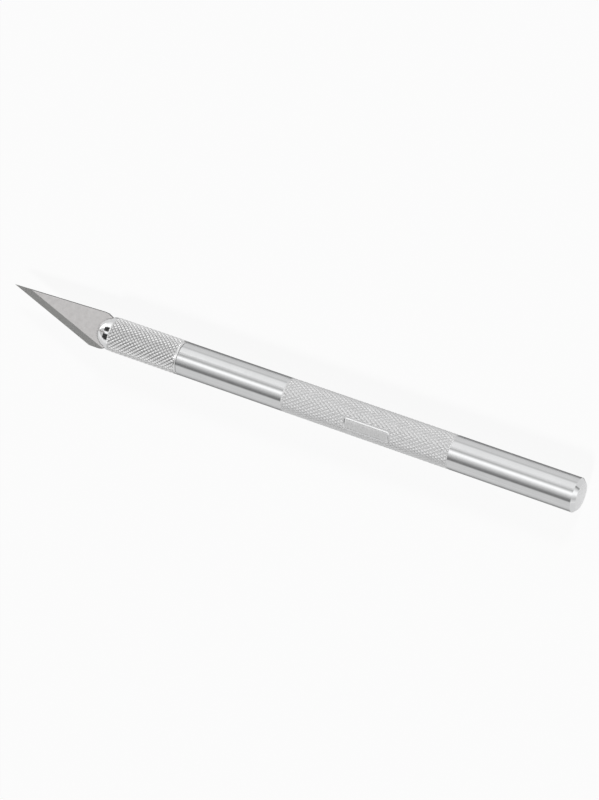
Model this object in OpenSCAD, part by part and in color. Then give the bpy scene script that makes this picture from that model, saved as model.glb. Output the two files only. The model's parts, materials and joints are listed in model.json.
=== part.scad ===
// Marking knife: a turned aluminium handle with a knurled grip, a knurled collar,
// a four-jaw collet with a domed head, and a fine-point steel blade.
// The knife lies on z = 0 with its blade flat, the tip towards -X and the cutting edge towards -Y.

/* [Handle] */
// Diameter of the polished bar
handle_d = 8; // [7.2:0.1:9]
// Length of the handle
handle_l = 100.4; // [85:0.2:120]
// Polished length between the front end and the grip
front_l = 27.6; // [18:0.2:38]
// Length of the knurled grip
grip_l = 42; // [30:0.5:55]
// Chamfer round the rear end
rear_chamfer = 0.85; // [0.4:0.05:1.4]
// Chamfer round the front end
front_chamfer = 0.3; // [0.1:0.05:0.6]
// Height of the grip's diamonds above the polished bar
grip_proud = 0.05; // [0.02:0.01:0.12]
// Depth of the grip's grooves
grip_depth = 0.18; // [0.12:0.01:0.3]
// Distance between the grip's diamonds round the bar
grip_pitch = 0.84; // [0.8:0.02:1.2]
// Length of one of the grip's diamonds along the bar
grip_diamond_l = 1.4; // [1.3:0.05:2]

/* [Collar] */
// Diameter over the collar's diamonds
collar_d = 8.2; // [8:0.1:9.4]
// Length of the collar
collar_l = 19.2; // [17.4:0.2:24]
// Wall of the collar round the collet's head, out to the diamonds
collar_rim = 0.45; // [0.35:0.05:0.6]
// Depth of the collar's grooves
collar_depth = 0.28; // [0.2:0.02:0.32]
// Distance between the collar's diamonds round it
collar_pitch = 0.99; // [0.9:0.01:1.4]
// Length of one of the collar's diamonds along it
collar_diamond_l = 1; // [0.9:0.05:1.5]
// Plain band at the collar's front edge
front_band_l = 0.9; // [0.5:0.05:1.4]
// Plain band at the collar's rear edge
rear_band_l = 0.7; // [0.5:0.05:1.2]
// How far the plain band at the front draws in towards the head
front_taper = 0.18; // [0.05:0.01:0.22]
// Chamfer on the collar's rear edge
collar_rear_chamfer = 0.35; // [0.1:0.05:0.45]

/* [Collet] */
// Length of the head that is hidden in the collar's mouth
head_sunk_l = 0.35; // [0.2:0.05:0.6]
// Half angle of the cone behind the head
cone_angle = 15; // [12:1:20]
// Metal outside the tang on each side of the collet's body
jaw_lip = 0.15; // [0.1:0.05:0.2]
// Distance from the collet's shoulder to the collar's rear end
shoulder_setback = 2.4; // [1.6:0.1:3]
// Diameter of the screwed tail
tail_d = 5; // [4:0.1:5.6]
// Length of the tail that is screwed into the handle
thread_l = 8; // [5:0.5:14]
// Chamfer at the end of the tail
tail_chamfer = 0.5; // [0.2:0.05:0.8]
// Width of the slot across the blade's slot
cross_slot_w = 0.36; // [0.2:0.02:0.6]

/* [Blade] */
// Distance from the collar's front to the blade's tip
blade_reach = 27.9; // [22:0.1:36]
// Width of the blade at its shoulders
blade_w = 8.64; // [8.3:0.02:9.4]
// Thickness of the blade
blade_t = 0.5; // [0.4:0.02:0.7]
// Distance from the spine's highest line down to the tip
tip_drop = 0.8; // [0.2:0.05:2]
// Distance from the collar's front to the heel of the cutting edge
heel_reach = 4.8; // [4:0.1:7]
// Radius of the rounded corner behind the heel
heel_round = 2; // [0.5:0.1:3]
// Width of the ground bevel
bevel_w = 1.45; // [1:0.05:2.2]
// Thickness left at the cutting edge
edge_land = 0.02; // [0.01:0.005:0.05]
// Length of the slight fall between the spine and its shoulder
spine_fall_l = 1.1; // [0.5:0.1:2]
// Height of that fall
spine_fall = 0.1; // [0.04:0.02:0.2]
// Angle of the shoulder behind the spine
spine_shoulder_angle = 24; // [20:1:32]
// Angle of the shoulder behind the heel
heel_shoulder_angle = 28; // [22:1:34]
// How far the feet of the shoulders lie behind the collar's front
shoulder_sunk_l = 0.9; // [0.4:0.05:1]
// Width of the tang that the jaws hold
tang_w = 5.8; // [5.4:0.05:6]
// Length of the tang behind the collar's front
tang_l = 12; // [9:0.2:13]
// Chamfer on the tang's rear corners
tang_chamfer = 0.8; // [0.3:0.1:1.4]

/* [Fits] */
// Radial clearance of the collet in the collar and in the handle
run_clearance = 0.05; // [0.03:0.01:0.08]
// Clearance between the collet's cone and the collar's mouth
seat_clearance = 0.04; // [0.02:0.01:0.08]
// Clearance on each face of the blade in its slot
blade_clearance = 0.03; // [0.02:0.01:0.06]
// Gap between the collar and the handle
face_gap = 0.05; // [0.02:0.01:0.1]
// Room behind the blade's tang in its slot
slot_spare = 1; // [0.5:0.1:1.2]
// Room behind the tail in the handle's bore
bore_spare = 2; // [1:0.5:4]

/* [Hidden] */
$fn = 96;
// How far a cut runs past the face that it opens
overrun = 1;
// Half of a common drill's point angle
drill_half_angle = 59;
// Number of straight steps in the rounded corner behind the blade's heel
corner_steps = 6;
// Share of a knurl row that is sunk in the plain bar at each end
sunk_row_share = 0.4;
// Share of the groove depth by which the collar's plain bands lie below its diamonds
band_drop_share = 0.25;
// Share of a knurl place by which the pattern is turned, so that the knife lies between two rows of peaks
knurl_turn_share = 0.5;

overall_l = blade_reach + collar_l + face_gap + handle_l;
collar_front_x = blade_reach - overall_l / 2;
handle_front_x = collar_front_x + collar_l + face_gap;
grip_d = handle_d + 2 * grip_proud;
axis_z = max(knurl_rest_r(collar_d, collar_pitch), knurl_rest_r(grip_d, grip_pitch));

head_r = collar_d / 2 - collar_rim - seat_clearance;
body_r = tang_w / 2 + jaw_lip;
tail_r = tail_d / 2;
cone_l = (head_r - body_r) / tan(cone_angle);
body_end = collar_l - shoulder_setback;
tail_end = collar_l + face_gap + thread_l;
slot_end = tang_l + slot_spare;
slot_w = blade_t + 2 * blade_clearance;
collar_bore_r = body_r + run_clearance;
bore_r = tail_r + run_clearance;
bore_l = thread_l + bore_spare;

// Number of diamonds in one row of a knurl.
function knurl_starts(d, pitch) = round(PI * d / pitch);

// Height of a knurled bar's axis when it lies on two neighbouring rows of peaks.
function knurl_rest_r(d, pitch) = d / 2 * cos(180 * knurl_turn_share / knurl_starts(d, pitch));

// Points of a knurl: rows of grooves' crossings and diamonds' peaks, alternating round the bar.
// The first and last rows lie wholly at the grooves' radius.
function knurl_points(starts, rows, row_l, low_r, high_r) = [
    for (row = [0 : rows])
        for (place = [0 : 2 * starts - 1])
            let (
                angle = 180 * (place + knurl_turn_share) / starts,
                plain = row == 0 || row == rows || (place + row) % 2 == 0,
                r = plain ? low_r : high_r
            )
            [r * cos(angle), r * sin(angle), row * row_l]
];

// Faces of a knurl: each patch of four points is split along its groove.
function knurl_faces(starts, rows) =
    let (
        ring = 2 * starts,
        sides = [
            for (row = [0 : rows - 1])
                for (place = [0 : ring - 1])
                    let (
                        a = row * ring + place,
                        b = row * ring + (place + 1) % ring,
                        c = b + ring,
                        d = a + ring
                    )
                    each (place + row) % 2 == 0 ? [[a, c, b], [a, d, c]] : [[a, d, b], [b, d, c]]
        ],
        front = [for (place = [0 : ring - 1]) place],
        rear = [for (place = [ring - 1 : -1 : 0]) rows * ring + place]
    )
    concat(sides, [front], [rear]);

// Solid length of diamond knurl along Z from zero, both ends sunk a little into what it joins.
module knurl(l, d, depth, pitch, diamond_l) {
    starts = knurl_starts(d, pitch);
    rows = 2 * round(l / diamond_l);
    row_l = l / (rows - 2 * sunk_row_share);
    translate([0, 0, -sunk_row_share * row_l])
        polyhedron(knurl_points(starts, rows, row_l, d / 2 - depth, d / 2), knurl_faces(starts, rows));
}

// Bar along Z from zero with a chamfer at either end.
module chamfered_bar(l, r, start_chamfer, end_chamfer) {
    rotate_extrude()
        polygon([
            [0, 0],
            [r - start_chamfer, 0],
            [r, start_chamfer],
            [r, l - end_chamfer],
            [r - end_chamfer, l],
            [0, l]
        ]);
}

// Places turned pieces: their own +Z becomes the knife's +X.
module on_axis(x) {
    translate([x, 0, axis_z])
        rotate([0, 90, 0])
            children();
}

// Blind hole for the collet's tail, with a drill's point and a broken edge.
module tail_bore() {
    translate([0, 0, -overrun])
        cylinder(h = bore_l + overrun, r = bore_r);
    translate([0, 0, bore_l])
        cylinder(h = bore_r / tan(drill_half_angle), r1 = bore_r, r2 = 0);
    translate([0, 0, -overrun])
        cylinder(h = front_chamfer + overrun, r1 = bore_r + front_chamfer + overrun, r2 = bore_r);
}

module handle() {
    rear_l = handle_l - front_l - grip_l;
    color("gainsboro")
        on_axis(handle_front_x) {
            difference() {
                chamfered_bar(front_l, handle_d / 2, front_chamfer, 0);
                tail_bore();
            }
            translate([0, 0, front_l])
                knurl(grip_l, grip_d, grip_depth, grip_pitch, grip_diamond_l);
            translate([0, 0, front_l + grip_l])
                chamfered_bar(rear_l, handle_d / 2, 0, rear_chamfer);
        }
}

// Inside of the collar: a bore for the collet's body and a cone for its head.
module collar_bore() {
    mouth_r = head_r + seat_clearance;
    translate([0, 0, -overrun])
        cylinder(h = collar_l + 2 * overrun, r = collar_bore_r);
    translate([0, 0, -overrun])
        cylinder(h = head_sunk_l + overrun, r = mouth_r);
    translate([0, 0, head_sunk_l])
        cylinder(h = (mouth_r - body_r) / tan(cone_angle), r1 = mouth_r, r2 = body_r);
}

module collar() {
    plain_r = collar_d / 2 - collar_depth * band_drop_share;
    knurl_l = collar_l - front_band_l - rear_band_l;
    color("silver")
        on_axis(collar_front_x)
            difference() {
                union() {
                    cylinder(h = front_band_l, r1 = plain_r - front_taper, r2 = plain_r);
                    translate([0, 0, front_band_l])
                        knurl(knurl_l, collar_d, collar_depth, collar_pitch, collar_diamond_l);
                    translate([0, 0, collar_l - rear_band_l])
                        chamfered_bar(rear_band_l, plain_r, 0, collar_rear_chamfer);
                }
                collar_bore();
            }
}

// Head, cone, body and tail of the collet before its jaws are sawn.
// The head is half a ball that stands out of the collar, on a short straight length.
module collet_blank() {
    intersection() {
        sphere(r = head_r);
        translate([0, 0, -head_r])
            cylinder(h = head_r, r = head_r);
    }
    cylinder(h = head_sunk_l, r = head_r);
    translate([0, 0, head_sunk_l])
        cylinder(h = cone_l, r1 = head_r, r2 = body_r);
    cylinder(h = body_end, r = body_r);
    chamfered_bar(tail_end, tail_r, 0, tail_chamfer);
}

module collet() {
    slot_l = head_r + slot_end + overrun;
    slot_span = 2 * (head_r + overrun);
    color("whitesmoke")
        on_axis(collar_front_x)
            difference() {
                collet_blank();
                translate([-slot_w / 2, -slot_span / 2, slot_end - slot_l])
                    cube([slot_w, slot_span, slot_l]);
                translate([-slot_span / 2, -cross_slot_w / 2, slot_end - slot_l])
                    cube([slot_span, cross_slot_w, slot_l]);
            }
}

// Points of an arc that rounds the corner between two straight lines through the point.
// The lines run at the two angles, and the second turns to the left of the first.
function rounded_corner(corner, angle_in, angle_out, r) =
    let (
        setback = r * tan((angle_out - angle_in) / 2),
        start = corner - setback * [cos(angle_in), sin(angle_in)],
        centre = start + r * [-sin(angle_in), cos(angle_in)]
    )
    [
        for (step = [0 : corner_steps])
            let (angle = angle_in + (angle_out - angle_in) * step / corner_steps)
            centre + r * [sin(angle), -cos(angle)]
    ];

// Blade's outline seen on its flat, with the collar's front at zero and the tip towards -X.
module blade_outline() {
    half_w = blade_w / 2;
    half_tang = tang_w / 2;
    heel_corner_x = shoulder_sunk_l - (half_w - half_tang) / tan(heel_shoulder_angle);
    bend_y = half_w - spine_fall;
    bend_x = shoulder_sunk_l - (bend_y - half_tang) / tan(spine_shoulder_angle);
    polygon(concat(
        [
            [-blade_reach, half_w - tip_drop],
            [-heel_reach, -half_w]
        ],
        rounded_corner([heel_corner_x, -half_w], 0, heel_shoulder_angle, heel_round),
        [
            [shoulder_sunk_l, -half_tang],
            [tang_l - tang_chamfer, -half_tang],
            [tang_l, tang_chamfer - half_tang],
            [tang_l, half_tang - tang_chamfer],
            [tang_l - tang_chamfer, half_tang],
            [shoulder_sunk_l, half_tang],
            [bend_x, bend_y],
            [bend_x - spine_fall_l, half_w]
        ]
    ));
}

// Wedge that grinds one face of the blade along its cutting edge, from the bevel's inner line outwards.
module bevel_wedge() {
    rise = (blade_t - edge_land) / 2;
    run = blade_reach - heel_reach;
    drop = blade_w - tip_drop;
    edge_l = norm([run, drop]);
    past = overrun / bevel_w;
    translate([-blade_reach, blade_w / 2 - tip_drop, 0])
        rotate([0, 0, -atan2(drop, run)])
            translate([-overrun, 0, edge_land / 2])
                rotate([90, 0, 90])
                    linear_extrude(height = edge_l + heel_reach + overrun)
                        polygon([
                            [bevel_w, rise],
                            [-overrun, -rise * past],
                            [-overrun, rise + overrun],
                            [bevel_w, rise + overrun]
                        ]);
}

module blade() {
    color("lightgray")
        translate([collar_front_x, 0, axis_z])
            difference() {
                translate([0, 0, -blade_t / 2])
                    linear_extrude(height = blade_t)
                        blade_outline();
                bevel_wedge();
                mirror([0, 0, 1])
                    bevel_wedge();
            }
}

handle();
collar();
collet();
blade();
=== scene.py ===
import json
import math

import bmesh
import bpy
from mathutils import Matrix, Vector


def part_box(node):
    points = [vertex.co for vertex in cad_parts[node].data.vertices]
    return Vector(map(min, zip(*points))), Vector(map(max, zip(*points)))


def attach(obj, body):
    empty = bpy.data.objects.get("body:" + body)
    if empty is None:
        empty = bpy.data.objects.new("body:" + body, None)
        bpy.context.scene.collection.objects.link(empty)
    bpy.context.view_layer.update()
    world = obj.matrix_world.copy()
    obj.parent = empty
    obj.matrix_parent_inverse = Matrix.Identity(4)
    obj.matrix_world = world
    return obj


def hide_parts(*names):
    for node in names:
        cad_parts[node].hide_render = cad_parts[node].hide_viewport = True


# Looks of the marking knife: a polished and knurled aluminium handle, a knurled collar,
# a domed collet in four jaws and a fine-point steel blade, in a pale studio.
# The knife lies along X with its tip towards -X and its cutting edge towards -Y.

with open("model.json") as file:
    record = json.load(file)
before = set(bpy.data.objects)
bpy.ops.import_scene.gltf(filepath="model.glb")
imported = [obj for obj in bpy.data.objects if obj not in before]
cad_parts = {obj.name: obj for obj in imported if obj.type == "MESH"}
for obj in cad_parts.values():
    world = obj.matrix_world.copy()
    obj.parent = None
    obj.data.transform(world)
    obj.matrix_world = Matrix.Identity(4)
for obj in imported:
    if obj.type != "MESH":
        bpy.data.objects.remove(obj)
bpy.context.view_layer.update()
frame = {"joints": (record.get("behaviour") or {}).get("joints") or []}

MM = 0.001

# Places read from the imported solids
HANDLE_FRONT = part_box("handle")[0].x
HANDLE_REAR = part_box("handle")[1].x
COLLAR_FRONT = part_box("collar")[0].x
COLLAR_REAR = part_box("collar")[1].x
COLLET_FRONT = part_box("collet")[0].x
COLLET_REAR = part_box("collet")[1].x
BLADE_LOW, BLADE_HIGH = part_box("blade")
JOINTS = {joint["name"]: joint for joint in frame["joints"]}
AXIS_Z = JOINTS["collar_turn"]["pos_m"][2]

# Handle
HANDLE_R = 4.0 * MM
FRONT_L = 27.6 * MM
GRIP_L = 42.0 * MM
GRIP_R = 4.05 * MM
GRIP_DEPTH = 0.18 * MM
GRIP_STARTS = 30
GRIP_DIAMONDS = 30
GRIP_TOP_SHARE = 1.0
REAR_CHAMFER = 0.85 * MM
FRONT_CHAMFER = 0.12 * MM
TAIL_BORE_R = 2.55 * MM
TAIL_BORE_L = 10.0 * MM
DRILL_HALF_ANGLE = math.radians(59)

# Bare label place on the grip, its angle taken from straight up towards the cutting edge
LABEL_L = 11.3 * MM
LABEL_W = 2.9 * MM
LABEL_SHIFT = 0.75 * MM
LABEL_ANGLE = math.radians(23.5)
LABEL_ROUND = 0.6 * MM
LABEL_FRAME_OUT_W = 0.32 * MM
LABEL_FRAME_IN_W = 0.12 * MM
LABEL_FRAME_H = 0.045 * MM
LABEL_FRAME_ROUND = 0.04 * MM
LABEL_MARGIN = 0.1 * MM
LABEL_R = 3.96 * MM
LABEL_ROOT_R = 3.7 * MM
LABEL_STRIPS = 12
LABEL_MIDDLE = HANDLE_FRONT + FRONT_L + GRIP_L / 2 + LABEL_SHIFT

# Collar
COLLAR_R = 4.1 * MM
COLLAR_DEPTH = 0.28 * MM
COLLAR_STARTS = 26
COLLAR_DIAMONDS = 16
COLLAR_TOP_SHARE = 0.7
BAND_R = 4.03 * MM
BAND_FRONT_R = 3.95 * MM
FRONT_BAND_L = 0.9 * MM
REAR_BAND_L = 0.45 * MM
COLLAR_CHAMFER = 0.12 * MM
COLLAR_BORE_R = 3.1 * MM

# Collet
HEAD_R = COLLAR_FRONT - COLLET_FRONT
HEAD_SUNK_L = 0.35 * MM
SEAT_CLEARANCE = 0.04 * MM
CONE_ANGLE = math.radians(15)
JAW_R = 3.05 * MM
JAW_END = 16.8 * MM
SLOT_END = 13.0 * MM
BLADE_SLOT_W = 0.64 * MM
CROSS_SLOT_W = 0.36 * MM
TAIL_R = 2.5 * MM
TAIL_CHAMFER = 0.5 * MM
DOME_STEPS = 28

# Blade, with the collar's front at zero
BLADE_REACH = COLLAR_FRONT - BLADE_LOW.x
TANG_L = BLADE_HIGH.x - COLLAR_FRONT
BLADE_HALF_W = BLADE_HIGH.y
BLADE_T = BLADE_HIGH.z - BLADE_LOW.z
TIP_DROP = 0.8 * MM
HEEL_REACH = 4.8 * MM
HEEL_ROUND = 2.0 * MM
HEEL_ANGLE = math.radians(28)
SPINE_FALL_L = 1.1 * MM
SPINE_FALL = 0.1 * MM
SPINE_ANGLE = math.radians(24)
SHOULDER_SUNK_L = 0.9 * MM
TANG_HALF_W = 2.9 * MM
TANG_CHAMFER = 0.8 * MM
BEVEL_W = 1.55 * MM
EDGE_LAND = 0.02 * MM
STAMPED_ROUND = 0.14 * MM

# Making of the meshes
DIAMOND_STEPS = 4
ROUND_STEPS = 96
CORNER_STEPS = 6
EDGE_STEPS = 2
UNIT_HALF = 0.5
POINT_MERGE = 0.0005 * MM
SHARP_ANGLE = math.radians(20)

# How far a face's normal points along the axis, or up, by which its finish is told
CHAMFER_NORMAL_X = 0.5
END_NORMAL_X = 0.9
GROUND_NORMAL_Z = 0.5
FLAT_NORMAL_Z = 0.9999
NORMAL_DIGITS = 4

# Places of the finishes among each piece's materials, counted from 0
HANDLE_KNURL, HANDLE_END, HANDLE_CHAMFER = 1, 2, 3
LABEL_FRAME = 1
COLLAR_KNURL = 1
BLADE_FLAT, BLADE_GROUND, BLADE_STAMPED = 0, 1, 2

# Finishes
# How narrow the painted shade in the grooves of the grip's and the collar's knurls is
GRIP_GROOVE_SHADE_NARROWNESS = 1.5
COLLAR_GROOVE_SHADE_NARROWNESS = 4.5
GRIND_TURN = math.radians(70)
MARK_DETAIL = 3.0
CLOUD_DETAIL = 4.0
CLOUD_LOW = 0.3
CLOUD_HIGH = 0.7
SMEAR_TURN = 0.25

# Sockets of a Mix node that count when it mixes colours
MIX_SHARE, MIX_FIRST, MIX_SECOND, MIX_RESULT = 0, 6, 7, 2

# Camera
CAMERA_EYE = Vector((0.2639, 0.0611, 0.6535))
CAMERA_AIM = Vector((0.0039, -0.0003, 0.0041))
CAMERA_UP = Vector((-0.3049, 0.9519, 0.0320))
CAMERA_LENS = 139.5

# Studio: light levels by the angle round the knife's axis, in degrees from straight up
# towards the cutting edge. Which set a piece mirrors depends on how far the direction
# points to the rear end, from -1 to 1.
BAR_BANDS = (
    (-90, 0.62),
    (-83, 0.55),
    (-70, 0.85),
    (-40, 0.88),
    (-27, 0.70),
    (-20, 0.46),
    (-4, 1.22),
    (5, 1.10),
    (21, 0.60),
    (37, 0.28),
    (46, 0.17),
    (53, 0.20),
    (60, 0.64),
    (90, 0.66),
)
BAR_REACH = (
    (-0.52, 0.0),
    (-0.48, 1.0),
    (-0.10, 1.0),
    (-0.02, 0.0),
)
HEAD_BANDS = (
    (-90, 0.66),
    (-60, 1.10),
    (-42, 1.20),
    (-38, 0.03),
    (-8, 0.03),
    (-4, 1.10),
    (8, 1.00),
    (12, 0.03),
    (52, 0.03),
    (57, 0.85),
    (75, 0.80),
    (90, 0.68),
)
HEAD_REACH = (
    (-0.70, 0.0),
    (-0.67, 1.0),
    (-0.52, 1.0),
    (-0.48, 0.0),
)
REAR_BANDS = (
    (-90, 0.10),
    (-84, 0.25),
    (-76, 0.55),
    (-61, 0.75),
    (-34, 1.05),
    (0, 1.05),
    (33, 0.72),
    (58, 0.48),
    (76, 0.68),
    (90, 0.82),
)
REAR_REACH = (
    (0.50, 0.0),
    (0.65, 1.0),
)
END_BANDS = (
    (-90, 0.50),
    (-75, 0.85),
    (-55, 0.75),
    (-35, 0.55),
    (-10, 0.80),
    (5, 1.00),
    (22, 1.30),
    (40, 0.55),
    (62, 0.50),
    (90, 0.60),
)
NOSE_BANDS = (
    (-90, 0.70),
    (-65, 1.60),
    (-42, 1.90),
    (-25, 0.60),
    (45, 0.50),
    (58, 0.90),
    (75, 0.90),
    (90, 0.70),
)
NOSE_REACH = (
    (-0.72, 1.0),
    (-0.69, 0.0),
)
# Sets laid over END_BANDS, in this order
ZONES = (
    (NOSE_BANDS, NOSE_REACH),
    (HEAD_BANDS, HEAD_REACH),
    (BAR_BANDS, BAR_REACH),
    (REAR_BANDS, REAR_REACH),
)
# What a ramp covers, in degrees round the axis and in shares along it
BANDS_SPAN = 180.0
REACH_SPAN = 2.0
RAMP_MIDDLE = 0.5
# Dim level of the studio where nothing mirrors it
SHADE_LEVEL = 0.02
# Diffuse depth below which a ray has met no matt surface
NO_MATT_DEPTH = 0.5
KEY_SIDE = Vector((0.1, -0.7, 0.7))
KEY_STRENGTH = 1.8
KEY_ANGLE = math.radians(10)
FILL_SIDE = Vector((0.1, 0.8, 0.6))
FILL_STRENGTH = 1.2
FILL_ANGLE = math.radians(12)
FLOOR_SIDE = 4.0
FLOOR_COLOUR = (0.92, 0.92, 0.92, 1.0)
FLOOR_WHITE_SHARE = 0.92
FLOOR_MIRROR_SHARE = 0.2


def new_piece(name, bm, body, slot, node, *materials):
    """Makes an object of the mesh, finishes it and sets it on its body in place of its solid."""
    for edge in bm.edges:
        faces = edge.link_faces
        edge.smooth = len(faces) == 2 and edge.calc_face_angle() < SHARP_ANGLE
    mesh = bpy.data.meshes.new(name)
    bm.to_mesh(mesh)
    bm.free()
    piece = bpy.data.objects.new(name, mesh)
    bpy.context.scene.collection.objects.link(piece)
    for material in materials:
        mesh.materials.append(material)
    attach(piece, body)
    if node:
        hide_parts(node)


def lathe(profile, steps, closed=False):
    """Turns a profile of (x, radius) points about the knife's axis."""
    bm = bmesh.new()
    points = [bm.verts.new((x, 0.0, AXIS_Z + r)) for x, r in profile]
    ends = points[1:] + points[:1] if closed else points[1:]
    for start, end in zip(points, ends):
        bm.edges.new((start, end))
    bmesh.ops.spin(
        bm,
        geom=bm.verts[:] + bm.edges[:],
        cent=(0.0, 0.0, AXIS_Z),
        axis=(1.0, 0.0, 0.0),
        angle=math.tau,
        steps=steps,
        use_merge=True,
    )
    bmesh.ops.remove_doubles(bm, verts=bm.verts, dist=POINT_MERGE)
    bmesh.ops.recalc_face_normals(bm, faces=bm.faces)
    for face in bm.faces:
        face.smooth = True
    return bm


def rows_between(start, length, count, r):
    """Profile points of a knurl's rows before it is pressed."""
    return [(start + length * row / count, r) for row in range(count + 1)]


def groove_distance(step):
    """How far a step lies from the nearest groove, as a share of half the space between grooves."""
    share = (step % DIAMOND_STEPS) / DIAMOND_STEPS
    return 1.0 - abs(2.0 * share - 1.0)


def under_label(x, angle):
    """Whether a point of the grip lies under the label place."""
    along = abs(x - LABEL_MIDDLE)
    across = abs(-angle - LABEL_ANGLE) * GRIP_R
    return along < LABEL_L / 2 + LABEL_MARGIN and across < LABEL_W / 2 + LABEL_MARGIN


def press_knurl(bm, start, length, low_r, high_r, starts, diamonds, top_share, material):
    """Presses rows of diamonds into the turned surface and splits its faces along the grooves."""
    row_l = length / (diamonds * DIAMOND_STEPS)
    groove_points = []
    pressed = set()
    for vert in bm.verts:
        y, z = vert.co.y, vert.co.z - AXIS_Z
        row = round((vert.co.x - start) / row_l)
        inside = 0 < row < diamonds * DIAMOND_STEPS
        if not inside or math.hypot(y, z) < low_r:
            continue
        angle = math.atan2(y, z)
        place = round(angle / math.tau * starts * DIAMOND_STEPS) + 1
        height = min(groove_distance(place + row), groove_distance(place - row), top_share)
        if under_label(vert.co.x, angle):
            height = 0.0
        r = low_r + (high_r - low_r) * height / top_share
        vert.co.y = r * math.sin(angle)
        vert.co.z = AXIS_Z + r * math.cos(angle)
        pressed.update(vert.link_faces)
        if (place + row) % 2 == 0:
            groove_points.append(vert)
    for face in pressed:
        face.smooth = False
        face.material_index = material
    bmesh.ops.connect_verts(bm, verts=groove_points)


def turned_handle(polished, knurled, cut, bright):
    """Bar with a blind hole in its front, two polished lengths and a knurled grip between them."""
    drill_tip = TAIL_BORE_L + TAIL_BORE_R / math.tan(DRILL_HALF_ANGLE)
    grip_start = HANDLE_FRONT + FRONT_L
    profile = [
        (HANDLE_FRONT + drill_tip, 0.0),
        (HANDLE_FRONT + TAIL_BORE_L, TAIL_BORE_R),
        (HANDLE_FRONT + FRONT_CHAMFER, TAIL_BORE_R),
        (HANDLE_FRONT, TAIL_BORE_R + FRONT_CHAMFER),
        (HANDLE_FRONT, HANDLE_R - FRONT_CHAMFER),
        (HANDLE_FRONT + FRONT_CHAMFER, HANDLE_R),
        *rows_between(grip_start, GRIP_L, GRIP_DIAMONDS * DIAMOND_STEPS, HANDLE_R),
        (HANDLE_REAR - REAR_CHAMFER, HANDLE_R),
        (HANDLE_REAR, HANDLE_R - REAR_CHAMFER),
        (HANDLE_REAR, 0.0),
    ]
    bm = lathe(profile, GRIP_STARTS * DIAMOND_STEPS)
    press_knurl(
        bm,
        start=grip_start,
        length=GRIP_L,
        low_r=GRIP_R - GRIP_DEPTH,
        high_r=GRIP_R,
        starts=GRIP_STARTS,
        diamonds=GRIP_DIAMONDS,
        top_share=GRIP_TOP_SHARE,
        material=HANDLE_KNURL,
    )
    for face in bm.faces:
        tilt = abs(face.normal.x)
        if tilt > CHAMFER_NORMAL_X and face.material_index != HANDLE_KNURL:
            face.material_index = HANDLE_END if tilt > END_NORMAL_X else HANDLE_CHAMFER
    finishes = (polished, knurled, cut, bright)
    new_piece("turned_handle", bm, "handle", "bar_aluminium", "handle", *finishes)


def framed_plate():
    """Flat plate with round corners, a thin raised frame and a closed root."""
    bm = bmesh.new()
    bmesh.ops.create_grid(bm, x_segments=1, y_segments=1, size=UNIT_HALF)
    bmesh.ops.scale(bm, verts=bm.verts, vec=(LABEL_L, LABEL_W, 1.0))
    bmesh.ops.bevel(
        bm,
        geom=bm.verts[:],
        offset=LABEL_ROUND,
        segments=CORNER_STEPS,
        profile=0.5,
        affect="VERTICES",
        material=-1,
    )
    plate = bm.faces[:]
    for width, rise in ((LABEL_FRAME_OUT_W, LABEL_FRAME_H), (LABEL_FRAME_IN_W, -LABEL_FRAME_H)):
        slope = bmesh.ops.inset_region(
            bm, faces=plate, thickness=width, depth=rise, use_boundary=True, use_even_offset=True
        )
        for face in slope["faces"]:
            face.material_index = LABEL_FRAME
    crest = [
        edge for edge in bm.edges if min(vert.co.z for vert in edge.verts) > LABEL_FRAME_H / 2
    ]
    bmesh.ops.bevel(
        bm,
        geom=crest,
        offset=LABEL_FRAME_ROUND,
        segments=EDGE_STEPS,
        profile=0.5,
        affect="EDGES",
        material=-1,
    )
    rim = [edge for edge in bm.edges if edge.is_boundary]
    skirt = bmesh.ops.extrude_edge_only(bm, edges=rim)["geom"]
    skirt_verts = [v for v in skirt if isinstance(v, bmesh.types.BMVert)]
    bmesh.ops.translate(bm, verts=skirt_verts, vec=(0, 0, LABEL_ROOT_R - LABEL_R))
    bmesh.ops.edgeloop_fill(bm, edges=[edge for edge in bm.edges if edge.is_boundary])
    return bm


def bare_label(satin, cut):
    """Plain plate with a thin frame, bent round the grip."""
    bm = framed_plate()
    for strip in range(1, LABEL_STRIPS):
        bmesh.ops.bisect_plane(
            bm,
            geom=bm.verts[:] + bm.edges[:] + bm.faces[:],
            plane_co=(0.0, LABEL_W * (strip / LABEL_STRIPS - 0.5), 0.0),
            plane_no=(0.0, 1.0, 0.0),
        )
    bmesh.ops.recalc_face_normals(bm, faces=bm.faces)
    for vert in bm.verts:
        angle = LABEL_ANGLE - vert.co.y / LABEL_R
        r = LABEL_R + vert.co.z
        vert.co = (LABEL_MIDDLE + vert.co.x, -r * math.sin(angle), AXIS_Z + r * math.cos(angle))
    for face in bm.faces:
        face.smooth = face.material_index != LABEL_FRAME
    new_piece("bare_label", bm, "handle", "bar_aluminium", None, satin, cut)


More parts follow.
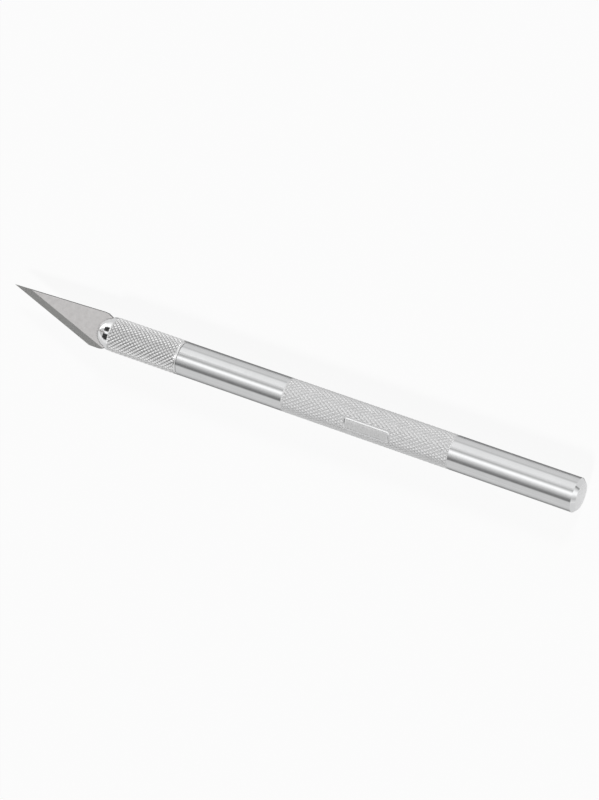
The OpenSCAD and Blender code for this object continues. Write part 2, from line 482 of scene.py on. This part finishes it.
def knurled_collar(polished, knurled):
    """Sleeve with a drawn-in front band, a knurl, a chamfered rear band and a cone in its mouth."""
    mouth_r = HEAD_R + SEAT_CLEARANCE
    cone_start = COLLAR_FRONT + HEAD_SUNK_L
    cone_end = cone_start + (mouth_r - COLLAR_BORE_R) / math.tan(CONE_ANGLE)
    knurl_start = COLLAR_FRONT + FRONT_BAND_L
    knurl_l = COLLAR_REAR - REAR_BAND_L - knurl_start
    profile = [
        (COLLAR_FRONT, mouth_r),
        (COLLAR_FRONT, BAND_FRONT_R),
        *rows_between(knurl_start, knurl_l, COLLAR_DIAMONDS * DIAMOND_STEPS, BAND_R),
        (COLLAR_REAR - COLLAR_CHAMFER, BAND_R),
        (COLLAR_REAR, BAND_R - COLLAR_CHAMFER),
        (COLLAR_REAR, COLLAR_BORE_R),
        (cone_end, COLLAR_BORE_R),
        (cone_start, mouth_r),
    ]
    bm = lathe(profile, COLLAR_STARTS * DIAMOND_STEPS, closed=True)
    press_knurl(
        bm,
        start=knurl_start,
        length=knurl_l,
        low_r=COLLAR_R - COLLAR_DEPTH,
        high_r=COLLAR_R,
        starts=COLLAR_STARTS,
        diamonds=COLLAR_DIAMONDS,
        top_share=COLLAR_TOP_SHARE,
        material=COLLAR_KNURL,
    )
    # The rear band, the rear chamfer, the rear face, the bore and the back of the cone take the
    # knurl's finish; its painted shade darkens the chamfer and the rear face towards the seam with
    # the handle.
    for face in bm.faces:
        if face.calc_center_median().x > knurl_start:
            face.material_index = COLLAR_KNURL
    new_piece("knurled_collar", bm, "collar", "collar_aluminium", "collar", polished, knurled)


def jaw_profile():
    """Profile of the sawn length of the collet, from the top of the dome to the slots' end."""
    dome = [
        (COLLAR_FRONT - HEAD_R * math.cos(angle), HEAD_R * math.sin(angle))
        for angle in (math.pi / 2 * step / DOME_STEPS for step in range(DOME_STEPS + 1))
    ]
    cone_l = (HEAD_R - JAW_R) / math.tan(CONE_ANGLE)
    return dome + [
        (COLLAR_FRONT + HEAD_SUNK_L, HEAD_R),
        (COLLAR_FRONT + HEAD_SUNK_L + cone_l, JAW_R),
        (COLLAR_FRONT + SLOT_END, JAW_R),
        (COLLAR_FRONT + SLOT_END, 0.0),
    ]


def saw_face(bm, side, gap):
    """Saws away what lies within half the gap of the axis on one side, and closes the cut."""
    bmesh.ops.bisect_plane(
        bm,
        geom=bm.verts[:] + bm.edges[:] + bm.faces[:],
        plane_co=Vector((0.0, 0.0, AXIS_Z)) + side * gap / 2,
        plane_no=side,
        clear_inner=True,
    )
    rim = [edge for edge in bm.edges if edge.is_boundary]
    bmesh.ops.edgeloop_fill(bm, edges=rim)


def domed_collet(polished):
    """Four jaws with a domed head on a screwed tail."""
    whole = lathe(
        [
            (COLLAR_FRONT + SLOT_END, 0.0),
            (COLLAR_FRONT + SLOT_END, JAW_R),
            (COLLAR_FRONT + JAW_END, JAW_R),
            (COLLAR_FRONT + JAW_END, TAIL_R),
            (COLLET_REAR - TAIL_CHAMFER, TAIL_R),
            (COLLET_REAR, TAIL_R - TAIL_CHAMFER),
            (COLLET_REAR, 0.0),
        ],
        ROUND_STEPS,
    )
    for side_y in (-1.0, 1.0):
        for side_z in (-1.0, 1.0):
            jaw = lathe(jaw_profile(), ROUND_STEPS)
            saw_face(jaw, Vector((0.0, side_y, 0.0)), CROSS_SLOT_W)
            saw_face(jaw, Vector((0.0, 0.0, side_z)), BLADE_SLOT_W)
            bmesh.ops.recalc_face_normals(jaw, faces=jaw.faces)
            mesh = bpy.data.meshes.new("jaw")
            jaw.to_mesh(mesh)
            jaw.free()
            whole.from_mesh(mesh)
            bpy.data.meshes.remove(mesh)
    new_piece("domed_collet", whole, "collet", "collet_aluminium", "collet", polished)


def heel_round():
    """Points of the rounded corner behind the heel."""
    corner_x = SHOULDER_SUNK_L - (BLADE_HALF_W - TANG_HALF_W) / math.tan(HEEL_ANGLE)
    inset = Vector((-HEEL_ROUND * math.tan(HEEL_ANGLE / 2), HEEL_ROUND))
    centre = Vector((corner_x, -BLADE_HALF_W)) + inset
    angles = [HEEL_ANGLE * step / CORNER_STEPS for step in range(CORNER_STEPS + 1)]
    return [centre + HEEL_ROUND * Vector((math.sin(angle), -math.cos(angle))) for angle in angles]


def blade_outline():
    """Outline of the blade's flat, from the tip round by the heel and the tang to the spine."""
    bend_y = BLADE_HALF_W - SPINE_FALL
    bend_x = SHOULDER_SUNK_L - (bend_y - TANG_HALF_W) / math.tan(SPINE_ANGLE)
    return [
        Vector((-BLADE_REACH, BLADE_HALF_W - TIP_DROP)),
        Vector((-HEEL_REACH, -BLADE_HALF_W)),
        *heel_round(),
        Vector((SHOULDER_SUNK_L, -TANG_HALF_W)),
        Vector((TANG_L - TANG_CHAMFER, -TANG_HALF_W)),
        Vector((TANG_L, TANG_CHAMFER - TANG_HALF_W)),
        Vector((TANG_L, TANG_HALF_W - TANG_CHAMFER)),
        Vector((TANG_L - TANG_CHAMFER, TANG_HALF_W)),
        Vector((SHOULDER_SUNK_L, TANG_HALF_W)),
        Vector((bend_x, bend_y)),
        Vector((bend_x - SPINE_FALL_L, BLADE_HALF_W)),
    ]


def bevel_share(place, tip, inward):
    """How far a point lies in from the cutting edge, as a share of the bevel's width."""
    return (place.to_2d() - tip).dot(inward) / BEVEL_W


def ground_blank(outline, tip, inward):
    """Blade of the given outline about z = 0, with a bevel ground on both faces."""
    bm = bmesh.new()
    bm.faces.new([bm.verts.new((point.x, point.y, 0.0)) for point in outline])
    bmesh.ops.bisect_plane(
        bm,
        geom=bm.verts[:] + bm.edges[:] + bm.faces[:],
        plane_co=(tip + inward * BEVEL_W).to_3d(),
        plane_no=inward.to_3d(),
    )
    grown = bmesh.ops.extrude_face_region(bm, geom=bm.faces[:])["geom"]
    for vert in grown:
        if isinstance(vert, bmesh.types.BMVert):
            share = min(max(bevel_share(vert.co, tip, inward), 0.0), 1.0)
            vert.co.z = (EDGE_LAND + (BLADE_T - EDGE_LAND) * share) / 2
    middle = [
        face for face in bm.faces if max(abs(vert.co.z) for vert in face.verts) < POINT_MERGE
    ]
    bmesh.ops.delete(bm, geom=middle, context="FACES")
    half = bm.verts[:] + bm.edges[:] + bm.faces[:]
    bmesh.ops.mirror(bm, geom=half, axis="Z", merge_dist=POINT_MERGE)
    bmesh.ops.recalc_face_normals(bm, faces=bm.faces)
    return bm


def stamped_edge(edge):
    """Whether an edge lies between a flat and an upright side."""
    rises = sorted(round(abs(face.normal.z), NORMAL_DIGITS) for face in edge.link_faces)
    return rises == [0.0, 1.0]


def fine_point_blade(flat, ground, stamped):
    """Steel blade with a bevel ground on both faces and rounded stamped edges."""
    outline = blade_outline()
    tip, heel = outline[:2]
    along = (heel - tip).normalized()
    inward = Vector((-along.y, along.x))
    bm = ground_blank(outline, tip, inward)
    bmesh.ops.bevel(
        bm,
        geom=[edge for edge in bm.edges if stamped_edge(edge)],
        offset=STAMPED_ROUND,
        segments=EDGE_STEPS,
        profile=0.5,
        affect="EDGES",
        material=-1,
    )
    for face in bm.faces:
        rise = abs(face.normal.z)
        on_bevel = bevel_share(face.calc_center_median(), tip, inward) < 1.0
        if rise > FLAT_NORMAL_Z:
            face.material_index = BLADE_FLAT
        elif rise > GROUND_NORMAL_Z and on_bevel:
            face.material_index = BLADE_GROUND
        else:
            face.material_index = BLADE_STAMPED
    bmesh.ops.translate(bm, verts=bm.verts, vec=(COLLAR_FRONT, 0.0, AXIS_Z))
    new_piece("fine_point_blade", bm, "blade", "blade_steel", "blade", flat, ground, stamped)


def put(tree, kind, **settings):
    """Adds a shader node with its settings."""
    node = tree.nodes.new("ShaderNode" + kind)
    for name, value in settings.items():
        setattr(node, name, value)
    return node


def feed(tree, socket, source):
    """Gives an input a number, a colour or another node's output."""
    if isinstance(source, bpy.types.NodeSocket):
        tree.links.new(source, socket)
    else:
        socket.default_value = source


def calc(tree, operation, *values):
    """Adds a Math node and returns its result."""
    node = put(tree, "Math", operation=operation)
    for socket, value in zip(node.inputs, values):
        feed(tree, socket, value)
    return node.outputs["Value"]


def grey(level):
    """Plain grey as a colour."""
    return (level, level, level, 1.0)


def ramp(tree, source, stops):
    """Adds a grey ramp with stops of (place, level) and returns its colour."""
    node = put(tree, "ValToRGB")
    feed(tree, node.inputs["Fac"], source)
    elements = node.color_ramp.elements
    elements.remove(elements[1])
    for index, (place, level) in enumerate(stops):
        element = elements.new(place) if index else elements[0]
        element.position = place
        element.color = grey(level)
    return node.outputs["Color"]


def blend(tree, share, first, second):
    """Adds a colour mix and returns its result."""
    node = put(tree, "Mix", data_type="RGBA")
    feed(tree, node.inputs[MIX_SHARE], share)
    feed(tree, node.inputs[MIX_FIRST], first)
    feed(tree, node.inputs[MIX_SECOND], second)
    return node.outputs[MIX_RESULT]


def noise(tree, place, scale, detail, **settings):
    """Adds a noise texture and returns its value."""
    node = put(tree, "TexNoise", **settings)
    feed(tree, node.inputs["Vector"], place)
    feed(tree, node.inputs["Scale"], scale)
    feed(tree, node.inputs["Detail"], detail)
    return node.outputs["Fac"]


def new_group(name, inputs, outputs):
    """Starts a node group with named number sockets and returns its tree, inputs and outputs."""
    tree = bpy.data.node_groups.new(name, "ShaderNodeTree")
    for socket in inputs:
        tree.interface.new_socket(socket, in_out="INPUT", socket_type="NodeSocketFloat")
    for socket in outputs:
        tree.interface.new_socket(socket, in_out="OUTPUT", socket_type="NodeSocketFloat")
    given = tree.nodes.new("NodeGroupInput").outputs
    return tree, given, tree.nodes.new("NodeGroupOutput").inputs


def axis_radius(tree):
    """Reads the place along the knife and the distance from its axis."""
    parts = put(tree, "SeparateXYZ")
    feed(tree, parts.inputs["Vector"], put(tree, "TexCoord").outputs["Object"])
    height = calc(tree, "SUBTRACT", parts.outputs["Z"], AXIS_Z)
    squares = [calc(tree, "MULTIPLY", side, side) for side in (parts.outputs["Y"], height)]
    return parts.outputs["X"], calc(tree, "SQRT", calc(tree, "ADD", *squares))


def knurl_height_group():
    """How high a point of a knurl stands, from 0 in its grooves to 1 on its tops; the knurls'
    colours follow it as painted shade in the grooves.
    """
    sockets = ("Groove Radius", "Top Radius", "Groove Narrowness")
    tree, given, result = new_group("knurl_height", sockets, ("Height",))
    share = put(tree, "MapRange")
    feed(tree, share.inputs["Value"], axis_radius(tree)[1])
    feed(tree, share.inputs["From Min"], given["Groove Radius"])
    feed(tree, share.inputs["From Max"], given["Top Radius"])
    sunk = calc(tree, "SUBTRACT", 1.0, share.outputs["Result"])
    depth = calc(tree, "POWER", sunk, given["Groove Narrowness"])
    feed(tree, result["Height"], calc(tree, "SUBTRACT", 1.0, depth))


def turning_marks_group():
    """Fine rings that a lathe tool leaves round the axis."""
    tree, given, result = new_group("turning_marks", ("Marks per Metre",), ("Height",))
    along, radius = axis_radius(tree)
    place = put(tree, "CombineXYZ")
    feed(tree, place.inputs["X"], calc(tree, "MULTIPLY", along, given["Marks per Metre"]))
    feed(tree, place.inputs["Y"], calc(tree, "MULTIPLY", radius, given["Marks per Metre"]))
    rings = noise(tree, place.outputs["Vector"], 1.0, MARK_DETAIL, noise_dimensions="2D")
    feed(tree, result["Height"], rings)


def grain_lines_group():
    """Fine straight lines of drawing, polishing or grinding, turned to lie along the work."""
    tree, given, result = new_group("grain_lines", ("Turn", "Along", "Across"), ("Height",))
    turn = put(tree, "CombineXYZ")
    feed(tree, turn.inputs["Z"], given["Turn"])
    scale = put(tree, "CombineXYZ")
    feed(tree, scale.inputs["X"], given["Along"])
    feed(tree, scale.inputs["Y"], given["Across"])
    feed(tree, scale.inputs["Z"], given["Across"])
    turned = put(tree, "Mapping", vector_type="TEXTURE")
    feed(tree, turned.inputs["Vector"], put(tree, "TexCoord").outputs["Object"])
    feed(tree, turned.inputs["Rotation"], turn.outputs["Vector"])
    stretched = put(tree, "VectorMath", operation="MULTIPLY")
    feed(tree, stretched.inputs[0], turned.outputs["Vector"])
    feed(tree, stretched.inputs[1], scale.outputs["Vector"])
    lines = noise(tree, stretched.outputs["Vector"], 1.0, MARK_DETAIL)
    feed(tree, result["Height"], lines)


def handling_marks_group():
    """Soft clouds that fingers and cloths leave on bare metal."""
    tree, given, result = new_group("handling_marks", ("Clouds per Metre",), ("Amount",))
    place = put(tree, "TexCoord").outputs["Object"]
    spread = put(tree, "MapRange")
    clouds = noise(tree, place, given["Clouds per Metre"], CLOUD_DETAIL)
    feed(tree, spread.inputs["Value"], clouds)
    feed(tree, spread.inputs["From Min"], CLOUD_LOW)
    feed(tree, spread.inputs["From Max"], CLOUD_HIGH)
    feed(tree, result["Amount"], spread.outputs["Result"])


def effect(tree, name, **values):
    """Places a shared effect in a material and returns what it puts out."""
    node = put(tree, "Group", node_tree=bpy.data.node_groups[name])
    for socket, value in values.items():
        feed(tree, node.inputs[socket.replace("_", " ")], value)
    return node.outputs[0]


def clouded(tree, marks, clouds, share):
    """Lays handling marks over a pattern, by their share."""
    over = effect(tree, "handling_marks", Clouds_per_Metre=clouds)
    return calc(tree, "MULTIPLY_ADD", over, share, calc(tree, "MULTIPLY", marks, 1.0 - share))


def metal(name, marks, colours, roughness, relief, smear=0.0, rim=1.0):
    """Bare metal whose marks, from 0 to 1, carry its colour, its roughness and its relief; a rim
    below 1 paints shade on its grazing edges.
    """
    material = bpy.data.materials.new(name)
    material.use_nodes = True
    tree = material.node_tree
    shader = tree.nodes["Principled BSDF"]
    pattern = marks(tree)
    low, high = ((*colour, 1.0) for colour in colours)
    feed(tree, shader.inputs["Base Color"], blend(tree, pattern, low, high))
    feed(tree, shader.inputs["Metallic"], 1.0)
    # Specular Tint below 1 is painted shade: it darkens the reflection at the grazing edges, where
    # the metal mirrors the shaded floor beside the knife.
    feed(tree, shader.inputs["Specular Tint"], grey(rim))
    spread = put(tree, "MapRange")
    feed(tree, spread.inputs["Value"], pattern)
    feed(tree, spread.inputs["To Min"], roughness[0])
    feed(tree, spread.inputs["To Max"], roughness[1])
    feed(tree, shader.inputs["Roughness"], spread.outputs["Result"])
    bump = put(tree, "Bump")
    feed(tree, bump.inputs["Distance"], relief)
    feed(tree, bump.inputs["Height"], pattern)
    feed(tree, shader.inputs["Normal"], bump.outputs["Normal"])
    if smear:
        feed(tree, shader.inputs["Anisotropic"], smear)
        feed(tree, shader.inputs["Anisotropic Rotation"], SMEAR_TURN)
        round_axis = put(tree, "Tangent", direction_type="RADIAL", axis="X")
        feed(tree, shader.inputs["Tangent"], round_axis.outputs["Tangent"])
    return material


def bar_marks(tree):
    """Polished bar: fine lengthwise lines under handling marks."""
    lines = effect(tree, "grain_lines", Turn=0.0, Along=40.0, Across=6000.0)
    return clouded(tree, lines, clouds=350.0, share=0.4)


def cut_marks(tree):
    """Lathe-cut end: clear rings."""
    rings = effect(tree, "turning_marks", Marks_per_Metre=7000.0)
    return clouded(tree, rings, clouds=600.0, share=0.3)


def bright_marks(tree):
    """Buffed head: faint rings and clouds."""
    rings = effect(tree, "turning_marks", Marks_per_Metre=16000.0)
    return clouded(tree, rings, clouds=900.0, share=0.5)


def stipple_marks(tree):
    """Stippled ground of the bare label: small pits under soft clouds."""
    pits = effect(tree, "handling_marks", Clouds_per_Metre=2600.0)
    return clouded(tree, pits, clouds=700.0, share=0.25)


def grip_groove_shade(tree):
    """Fine knurl of the grip, with painted shade darkening its grooves, under handling marks."""
    height = effect(
        tree,
        "knurl_height",
        Groove_Radius=GRIP_R - GRIP_DEPTH,
        Top_Radius=GRIP_R,
        Groove_Narrowness=GRIP_GROOVE_SHADE_NARROWNESS,
    )
    return clouded(tree, height, clouds=500.0, share=0.25)


def collar_groove_shade(tree):
    """Coarse knurl of the collar, with painted shade darkening its grooves, under handling marks.
    """
    height = effect(
        tree,
        "knurl_height",
        Groove_Radius=COLLAR_R - COLLAR_DEPTH,
        Top_Radius=COLLAR_R,
        Groove_Narrowness=COLLAR_GROOVE_SHADE_NARROWNESS,
    )
    return clouded(tree, height, clouds=700.0, share=0.12)


def flat_marks(tree):
    """Rolled steel: faint grain along the blade under soft mottling."""
    lines = effect(tree, "grain_lines", Turn=0.0, Along=500.0, Across=5000.0)
    return clouded(tree, lines, clouds=900.0, share=0.6)


def ground_marks(tree):
    """Ground bevel: fine lines square to the cutting edge."""
    lines = effect(tree, "grain_lines", Turn=GRIND_TURN, Along=300.0, Across=9000.0)
    return clouded(tree, lines, clouds=600.0, share=0.2)


def stamped_marks(tree):
    """Stamped sides: short torn lines."""
    lines = effect(tree, "grain_lines", Turn=0.0, Along=2500.0, Across=2500.0)
    return clouded(tree, lines, clouds=1500.0, share=0.5)


def photo_camera():
    """Camera at the photograph's viewing angle."""
    camera = bpy.data.objects.new("photo_camera", bpy.data.cameras.new("photo_camera"))
    bpy.context.scene.collection.objects.link(camera)
    camera.data.lens = CAMERA_LENS
    back = (CAMERA_EYE - CAMERA_AIM).normalized()
    right = CAMERA_UP.cross(back).normalized()
    turned = Matrix((right, back.cross(right), back)).transposed()
    camera.matrix_world = Matrix.Translation(CAMERA_EYE) @ turned.to_4x4()
    bpy.context.scene.camera = camera


def spread_stops(stops, span):
    """Moves stops that lie about zero over a span to a ramp's places from 0 to 1."""
    return [(place / span + RAMP_MIDDLE, level) for place, level in stops]


def mirrored_rays(tree, path):
    """Tells the rays that a piece mirrors or lets through."""
    return calc(tree, "MAXIMUM", path.outputs["Is Glossy Ray"], path.outputs["Is Transmission Ray"])


def studio_panels(tree):
    """Light panels and dark cards round the knife, by the direction that they lie in."""
    parts = put(tree, "SeparateXYZ")
    feed(tree, parts.inputs["Vector"], put(tree, "TexCoord").outputs["Generated"])
    towards_edge = calc(tree, "MULTIPLY", parts.outputs["Y"], -1.0)
    angle = calc(tree, "ARCTAN2", towards_edge, parts.outputs["Z"])
    place = calc(tree, "MULTIPLY_ADD", angle, 1.0 / math.radians(BANDS_SPAN), RAMP_MIDDLE)
    along = calc(tree, "MULTIPLY_ADD", parts.outputs["X"], 1.0 / REACH_SPAN, RAMP_MIDDLE)
    studio = ramp(tree, place, spread_stops(END_BANDS, BANDS_SPAN))
    for bands, reach in ZONES:
        panels = ramp(tree, place, spread_stops(bands, BANDS_SPAN))
        share = ramp(tree, along, spread_stops(reach, REACH_SPAN))
        studio = blend(tree, share, studio, panels)
    return studio


def studio_world():
    """Studio that only metal mirrors: it is white where the camera looks and dim elsewhere."""
    world = bpy.data.worlds.new("studio")
    world.cycles.sampling_method = "NONE"
    bpy.context.scene.world = world
    world.use_nodes = True
    tree = world.node_tree
    studio = studio_panels(tree)
    path = put(tree, "LightPath")
    direct = calc(tree, "LESS_THAN", path.outputs["Diffuse Depth"], NO_MATT_DEPTH)
    mirrored = calc(tree, "MULTIPLY", mirrored_rays(tree, path), direct)
    shown = blend(tree, mirrored, grey(SHADE_LEVEL), studio)
    seen = blend(tree, path.outputs["Is Camera Ray"], shown, grey(1.0))
    feed(tree, tree.nodes["Background"].inputs["Color"], seen)


def studio_lamp(name, side, strength, angle):
    """Soft lamp that lights the floor from one side and isn't itself seen in the metal."""
    lamp = bpy.data.objects.new(name, bpy.data.lights.new(name, "SUN"))
    lamp.data.energy = strength
    lamp.data.angle = angle
    lamp.rotation_euler = side.to_track_quat("Z", "Y").to_euler()
    lamp.visible_glossy = False
    bpy.context.scene.collection.objects.link(lamp)


def floor_material():
    """Pale matt finish that the camera sees mostly as plain white."""
    material = bpy.data.materials.new("pale_floor")
    material.use_nodes = True
    tree = material.node_tree
    shader = tree.nodes["Principled BSDF"]
    feed(tree, shader.inputs["Base Color"], FLOOR_COLOUR)
    feed(tree, shader.inputs["Roughness"], 1.0)
    feed(tree, shader.inputs["Specular IOR Level"], 0.0)
    white = put(tree, "Emission")
    path = put(tree, "LightPath")
    mixed = put(tree, "MixShader")
    mirrored = mirrored_rays(tree, path)
    seen = calc(tree, "MULTIPLY", path.outputs["Is Camera Ray"], FLOOR_WHITE_SHARE)
    feed(tree, mixed.inputs[0], calc(tree, "MULTIPLY_ADD", mirrored, FLOOR_MIRROR_SHARE, seen))
    feed(tree, mixed.inputs[1], shader.outputs["BSDF"])
    feed(tree, mixed.inputs[2], white.outputs["Emission"])
    feed(tree, tree.nodes["Material Output"].inputs["Surface"], mixed.outputs["Shader"])
    return material


def pale_floor():
    """Wide pale floor that reads white and keeps the knife's soft shadow."""
    bm = bmesh.new()
    bmesh.ops.create_grid(bm, x_segments=1, y_segments=1, size=FLOOR_SIDE / 2)
    mesh = bpy.data.meshes.new("floor")
    bm.to_mesh(mesh)
    bm.free()
    mesh.materials.append(floor_material())
    floor = bpy.data.objects.new("floor", mesh)
    bpy.context.scene.collection.objects.link(floor)


bpy.context.scene.view_settings.view_transform = "Standard"
photo_camera()
studio_world()
studio_lamp("key_lamp", KEY_SIDE, KEY_STRENGTH, KEY_ANGLE)
studio_lamp("fill_lamp", FILL_SIDE, FILL_STRENGTH, FILL_ANGLE)
pale_floor()

knurl_height_group()
turning_marks_group()
grain_lines_group()
handling_marks_group()

polished_bar = metal(
    "polished_bar",
    bar_marks,
    colours=((0.82, 0.825, 0.83), (0.90, 0.905, 0.91)),
    roughness=(0.12, 0.16),
    relief=0.0005 * MM,
    smear=1.0,
    # rim: painted shade on the bar's grazing edges
    rim=0.45,
)
cut_end = metal(
    "cut_end",
    cut_marks,
    colours=((0.88, 0.885, 0.89), (0.98, 0.98, 0.985)),
    roughness=(0.22, 0.34),
    relief=0.002 * MM,
)
grip_knurl = metal(
    "grip_knurl",
    grip_groove_shade,
    # First colour: painted shade deep in the grip knurl's grooves; second: its tops
    colours=((0.78, 0.78, 0.78), (0.97, 0.97, 0.975)),
    roughness=(0.50, 0.42),
    relief=0.0,
    # rim: painted shade on the grip's grazing edges
    rim=0.35,
)
label_satin = metal(
    "label_satin",
    stipple_marks,
    colours=((0.78, 0.78, 0.78), (1.0, 1.0, 1.0)),
    roughness=(0.65, 0.50),
    relief=0.008 * MM,
)
collar_knurl = metal(
    "collar_knurl",
    collar_groove_shade,
    # First colour: painted shade deep in the collar knurl's grooves; second: its tops
    colours=((0.32, 0.32, 0.32), (1.0, 1.0, 1.0)),
    roughness=(0.36, 0.22),
    relief=0.0,
    # rim: painted shade on the collar's grazing edges
    rim=0.45,
)
bright_turning = metal(
    "bright_turning",
    bright_marks,
    colours=((0.88, 0.885, 0.89), (0.94, 0.945, 0.95)),
    roughness=(0.08, 0.14),
    relief=0.0005 * MM,
)
bright_collet = metal(
    "bright_collet",
    bright_marks,
    colours=((0.90, 0.90, 0.905), (0.95, 0.95, 0.955)),
    roughness=(0.06, 0.12),
    relief=0.0005 * MM,
)
satin_steel = metal(
    "satin_steel",
    flat_marks,
    colours=((0.59, 0.575, 0.57), (0.76, 0.745, 0.74)),
    roughness=(0.34, 0.42),
    relief=0.001 * MM,
)
ground_steel = metal(
    "ground_steel",
    ground_marks,
    colours=((0.42, 0.42, 0.41), (0.51, 0.51, 0.50)),
    roughness=(0.38, 0.46),
    relief=0.001 * MM,
)
# The stamped sides and their rounded edges are coloured near black, far darker than the blade's
# faces.
stamped_steel = metal(
    "stamped_steel",
    stamped_marks,
    colours=((0.14, 0.14, 0.14), (0.26, 0.26, 0.26)),
    roughness=(0.4, 0.5),
    relief=0.003 * MM,
)

turned_handle(polished_bar, grip_knurl, cut_end, bright_turning)
bare_label(label_satin, cut_end)
knurled_collar(bright_turning, collar_knurl)
domed_collet(bright_collet)
fine_point_blade(satin_steel, ground_steel, stamped_steel)
